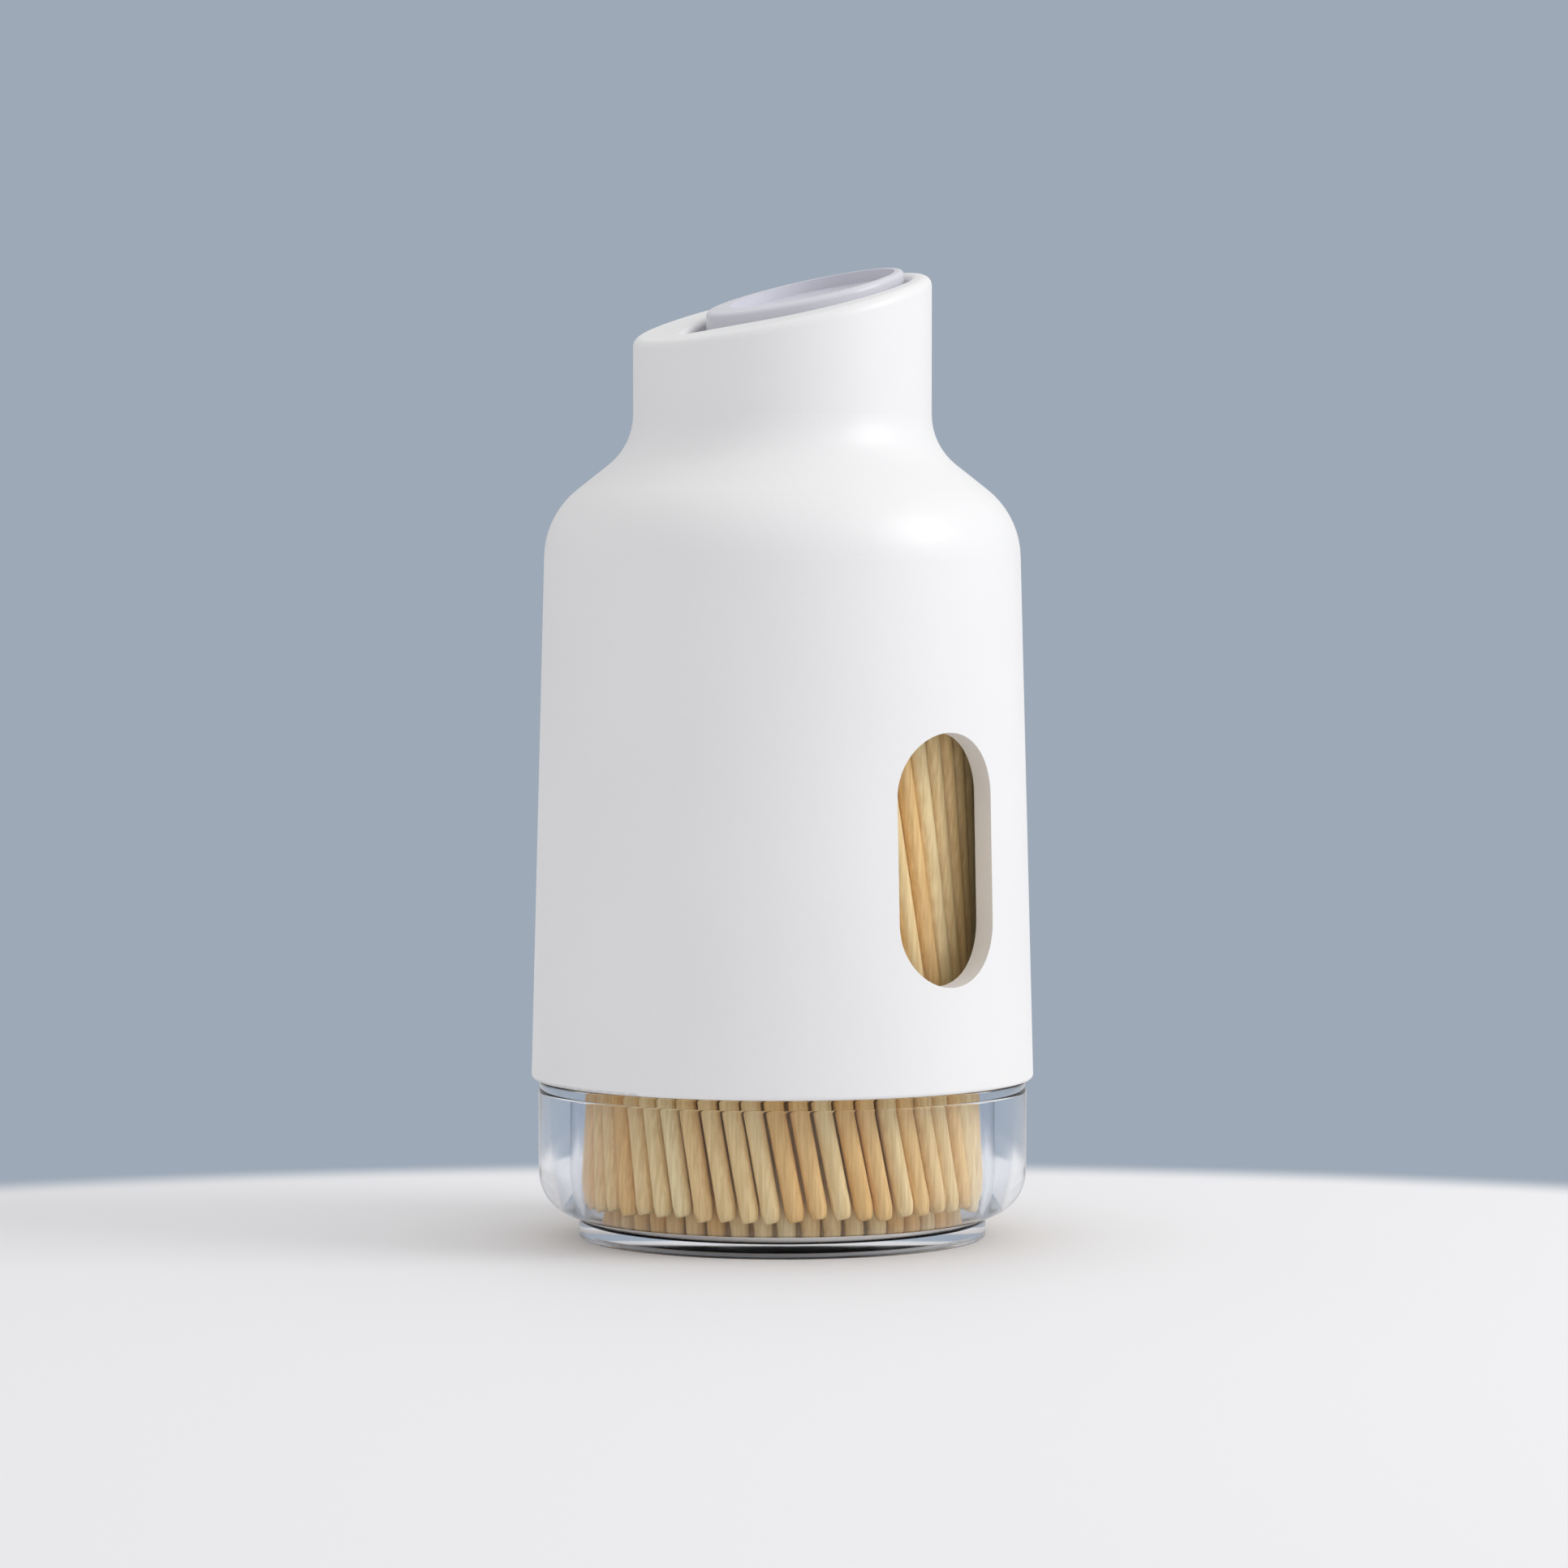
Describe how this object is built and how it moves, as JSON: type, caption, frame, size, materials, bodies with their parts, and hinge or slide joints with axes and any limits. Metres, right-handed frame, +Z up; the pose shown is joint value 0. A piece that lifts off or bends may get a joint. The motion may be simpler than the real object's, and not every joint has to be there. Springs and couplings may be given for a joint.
{
  "type": "toothpick dispenser",
  "caption": "White push-button toothpick dispenser with a clear base, a small window and a slanted mouth.",
  "frame": {"origin": "centre of the foot ring's underside, on the surface it stands on", "axes": "+Z up along the shell's axis, +X towards the high side of the slanted mouth, -X towards the low side where the sticks come out"},
  "size_m": [0.054, 0.054, 0.1042],
  "materials": {
    "shell_white": "moulded satin white",
    "button_grey": "moulded pale lilac grey",
    "clear": "clear moulded plastic",
    "seal": "translucent grey elastic",
    "inner_plastic": "moulded off-white",
    "gear_plastic": "natural low-friction plastic",
    "steel": "plain steel",
    "stick_wood": "birch, unfinished"
  },
  "bodies": {
    "base": {"base_bowl": "clear", "canister": "clear", "toothpicks_outer": "stick_wood", "toothpicks_middle": "stick_wood", "toothpicks_inner": "stick_wood"},
    "seal": {"seal_ring": "seal"},
    "shell": {"outer_shell": "shell_white", "mechanism_frame": "inner_plastic", "button_guide": "inner_plastic", "exit_guide": "inner_plastic", "pick_funnel": "inner_plastic", "frame_screws": "steel", "pinion_axle": "steel", "axle_clips": "steel", "return_spring": "steel"},
    "button": {"press_button": "button_grey", "button_plunger": "inner_plastic"},
    "pinion": {"drive_pinion": "gear_plastic"},
    "lifter": {"rack_lifter": "gear_plastic", "lifter_grip": "seal"},
    "ready_pick": {"ready_toothpick": "stick_wood"}
  },
  "joints": [
    {"name": "shell_turn", "type": "hinge", "parent": "base", "child": "seal", "pos_m": [0, 0, 0.0171], "axis": [0, 0, 1], "continuous": true},
    {"name": "shell_lift", "type": "slide", "parent": "seal", "child": "shell", "axis": [0, 0, 1], "range_m": [0, 0.06]},
    {"name": "button_press", "type": "slide", "parent": "shell", "child": "button", "axis": [0, 0, -1], "range_m": [0, 0.008], "stiffness_N_per_m": 350, "springref_m": -0.003, "deforming": ["return_spring"]},
    {"name": "pinion_turn", "type": "hinge", "parent": "shell", "child": "pinion", "pos_m": [-0.0023, 0, 0.07792], "axis": [0, 1, 0], "range_deg": [0, 127.5]},
    {"name": "lifter_rise", "type": "slide", "parent": "shell", "child": "lifter", "axis": [0, 0, 1], "range_m": [0, 0.0081]},
    {"name": "pick_draw", "type": "slide", "parent": "lifter", "child": "ready_pick", "axis": [0, 0, 1], "range_m": [0, 0.068]}
  ],
  "couplings": [
    {"joint": "pinion_turn", "follows": "button_press", "rad_per_m": 277.78},
    {"joint": "lifter_rise", "follows": "button_press", "ratio": 1}
  ]
}
